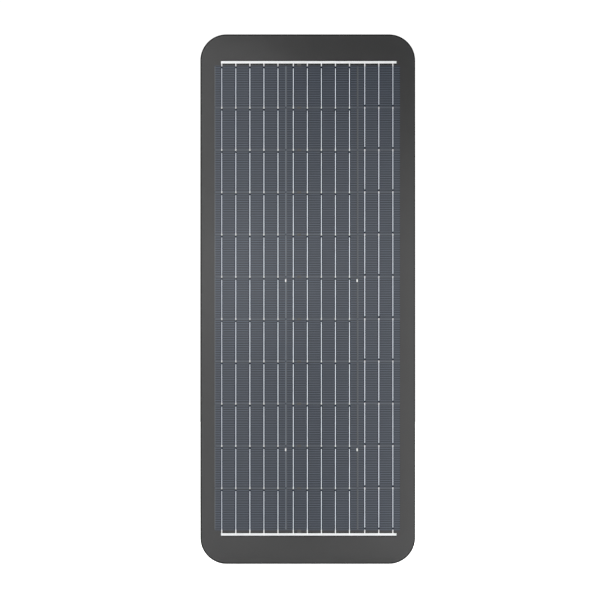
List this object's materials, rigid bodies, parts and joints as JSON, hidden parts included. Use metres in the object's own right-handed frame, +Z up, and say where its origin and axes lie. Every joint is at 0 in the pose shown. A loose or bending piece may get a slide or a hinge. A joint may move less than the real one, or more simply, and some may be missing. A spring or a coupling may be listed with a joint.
{
  "type": "flexible solar sheet",
  "caption": "Thin bendable solar laminate with rounded corners: rows of dark cells under clear film, black border, junction box on the back.",
  "frame": {"origin": "middle of the flat back face of the laminate", "axes": "+Z up the long side towards the junction box end, -Y out of the sunny face, +X towards the narrow column of cells"},
  "size_m": [0.477, 0.0215, 1.176],
  "materials": {
    "backsheet": "matte",
    "silicon_cell": "satin",
    "tinned_ribbon": "satin",
    "tinned_bus": "satin",
    "pale_tape": "matte",
    "black_tape": "matte",
    "clear_film": "satin",
    "encapsulant": "gloss",
    "foam_tape": "matte",
    "box_plastic": "satin",
    "gland_plastic": "satin",
    "seal_rubber": "matte",
    "tinned_terminal": "satin",
    "screw_steel": "satin",
    "diode_epoxy": "satin"
  },
  "bodies": {
    "sheet_row_01": {"backsheet_row_01": "backsheet", "cells_row_01": "silicon_cell", "ribbons_row_01": "tinned_ribbon", "bus_ribbon_top": "tinned_bus", "lead_positive": "tinned_ribbon", "lead_negative": "tinned_ribbon", "junction_box_pad": "foam_tape", "junction_box_base": "box_plastic", "lid_gasket": "seal_rubber", "terminal_rail_positive": "tinned_terminal", "terminal_rail_negative": "tinned_terminal", "cable_clamps": "tinned_terminal", "clamp_screws": "screw_steel", "bypass_diode": "diode_epoxy", "bypass_diode_leads": "tinned_terminal", "gland_seals": "seal_rubber"},
    "sheet_row_02": {"backsheet_row_02": "backsheet", "cells_row_02": "silicon_cell", "ribbons_row_02": "tinned_ribbon"},
    "sheet_row_03": {"backsheet_row_03": "backsheet", "cells_row_03": "silicon_cell", "ribbons_row_03": "tinned_ribbon"},
    "sheet_row_04": {"backsheet_row_04": "backsheet", "cells_row_04": "silicon_cell", "ribbons_row_04": "tinned_ribbon"},
    "sheet_row_05": {"backsheet_row_05": "backsheet", "cells_row_05": "silicon_cell", "ribbons_row_05": "tinned_ribbon"},
    "sheet_row_06": {"backsheet_row_06": "backsheet", "cells_row_06": "silicon_cell", "ribbons_row_06": "tinned_ribbon", "spacer_tabs_upper": "pale_tape", "front_film": "clear_film", "front_encapsulant": "encapsulant", "rear_encapsulant": "encapsulant", "return_insulation": "black_tape"},
    "sheet_row_07": {"backsheet_row_07": "backsheet", "cells_row_07": "silicon_cell", "ribbons_row_07": "tinned_ribbon"},
    "sheet_row_08": {"backsheet_row_08": "backsheet", "cells_row_08": "silicon_cell", "ribbons_row_08": "tinned_ribbon"},
    "sheet_row_09": {"backsheet_row_09": "backsheet", "cells_row_09": "silicon_cell", "ribbons_row_09": "tinned_ribbon"},
    "sheet_row_10": {"backsheet_row_10": "backsheet", "cells_row_10": "silicon_cell", "ribbons_row_10": "tinned_ribbon", "spacer_tabs_lower": "pale_tape"},
    "sheet_row_11": {"backsheet_row_11": "backsheet", "cells_row_11": "silicon_cell", "ribbons_row_11": "tinned_ribbon", "bus_ribbon_bottom": "tinned_bus"},
    "junction_box_lid": {"junction_box_lid": "box_plastic"},
    "gland_nut_positive": {"gland_nut_positive": "gland_plastic"},
    "gland_nut_negative": {"gland_nut_negative": "gland_plastic"}
  },
  "joints": [
    {"name": "bend_05", "type": "hinge", "parent": "sheet_row_06", "child": "sheet_row_05", "pos_m": [0, -0.00125, 0.04945], "axis": [-1, 0, 0], "range_deg": [-3, 3], "stiffness_Nm_per_rad": 20, "deforming": ["front_film", "front_encapsulant", "rear_encapsulant", "return_insulation"]},
    {"name": "bend_06", "type": "hinge", "parent": "sheet_row_06", "child": "sheet_row_07", "pos_m": [0, -0.00125, -0.04446], "axis": [1, 0, 0], "range_deg": [-3, 3], "stiffness_Nm_per_rad": 20, "deforming": ["front_film", "front_encapsulant", "rear_encapsulant", "return_insulation"]},
    {"name": "bend_04", "type": "hinge", "parent": "sheet_row_05", "child": "sheet_row_04", "pos_m": [0, -0.00125, 0.14336], "axis": [-1, 0, 0], "range_deg": [-3, 3], "stiffness_Nm_per_rad": 20, "deforming": ["front_film", "front_encapsulant", "rear_encapsulant", "return_insulation"]},
    {"name": "bend_07", "type": "hinge", "parent": "sheet_row_07", "child": "sheet_row_08", "pos_m": [0, -0.00125, -0.13837], "axis": [1, 0, 0], "range_deg": [-3, 3], "stiffness_Nm_per_rad": 20, "deforming": ["front_film", "front_encapsulant", "rear_encapsulant", "return_insulation"]},
    {"name": "bend_03", "type": "hinge", "parent": "sheet_row_04", "child": "sheet_row_03", "pos_m": [0, -0.00125, 0.23727], "axis": [-1, 0, 0], "range_deg": [-3, 3], "stiffness_Nm_per_rad": 20, "deforming": ["front_film", "front_encapsulant", "rear_encapsulant", "return_insulation"]},
    {"name": "bend_08", "type": "hinge", "parent": "sheet_row_08", "child": "sheet_row_09", "pos_m": [0, -0.00125, -0.23228], "axis": [1, 0, 0], "range_deg": [-3, 3], "stiffness_Nm_per_rad": 20, "deforming": ["front_film", "front_encapsulant", "rear_encapsulant", "return_insulation"]},
    {"name": "bend_02", "type": "hinge", "parent": "sheet_row_03", "child": "sheet_row_02", "pos_m": [0, -0.00125, 0.33118], "axis": [-1, 0, 0], "range_deg": [-3, 3], "stiffness_Nm_per_rad": 20, "deforming": ["front_film", "front_encapsulant", "rear_encapsulant", "return_insulation"]},
    {"name": "bend_09", "type": "hinge", "parent": "sheet_row_09", "child": "sheet_row_10", "pos_m": [0, -0.00125, -0.32619], "axis": [1, 0, 0], "range_deg": [-3, 3], "stiffness_Nm_per_rad": 20, "deforming": ["front_film", "front_encapsulant", "rear_encapsulant", "return_insulation"]},
    {"name": "bend_01", "type": "hinge", "parent": "sheet_row_02", "child": "sheet_row_01", "pos_m": [0, -0.00125, 0.42509], "axis": [-1, 0, 0], "range_deg": [-3, 3], "stiffness_Nm_per_rad": 20, "deforming": ["front_film", "front_encapsulant", "rear_encapsulant", "return_insulation"]},
    {"name": "bend_10", "type": "hinge", "parent": "sheet_row_10", "child": "sheet_row_11", "pos_m": [0, -0.00125, -0.4201], "axis": [1, 0, 0], "range_deg": [-3, 3], "stiffness_Nm_per_rad": 20, "deforming": ["front_film", "front_encapsulant", "rear_encapsulant", "return_insulation"]},
    {"name": "lid_pull", "type": "slide", "parent": "sheet_row_01", "child": "junction_box_lid", "axis": [0, 1, 0], "range_m": [0, 0.012]},
    {"name": "gland_nut_positive_turn", "type": "hinge", "parent": "sheet_row_01", "child": "gland_nut_positive", "pos_m": [0.019, 0.0104, 0.4945], "axis": [0, 0, -1], "range_deg": [0, 360]},
    {"name": "gland_nut_negative_turn", "type": "hinge", "parent": "sheet_row_01", "child": "gland_nut_negative", "pos_m": [-0.019, 0.0104, 0.4945], "axis": [0, 0, -1], "range_deg": [0, 360]}
  ],
  "couplings": [
    {"joint": "bend_06", "follows": "bend_05", "ratio": 1},
    {"joint": "bend_04", "follows": "bend_05", "ratio": 1},
    {"joint": "bend_07", "follows": "bend_05", "ratio": 1},
    {"joint": "bend_03", "follows": "bend_05", "ratio": 1},
    {"joint": "bend_08", "follows": "bend_05", "ratio": 1},
    {"joint": "bend_02", "follows": "bend_05", "ratio": 1},
    {"joint": "bend_09", "follows": "bend_05", "ratio": 1},
    {"joint": "bend_01", "follows": "bend_05", "ratio": 1},
    {"joint": "bend_10", "follows": "bend_05", "ratio": 1}
  ]
}
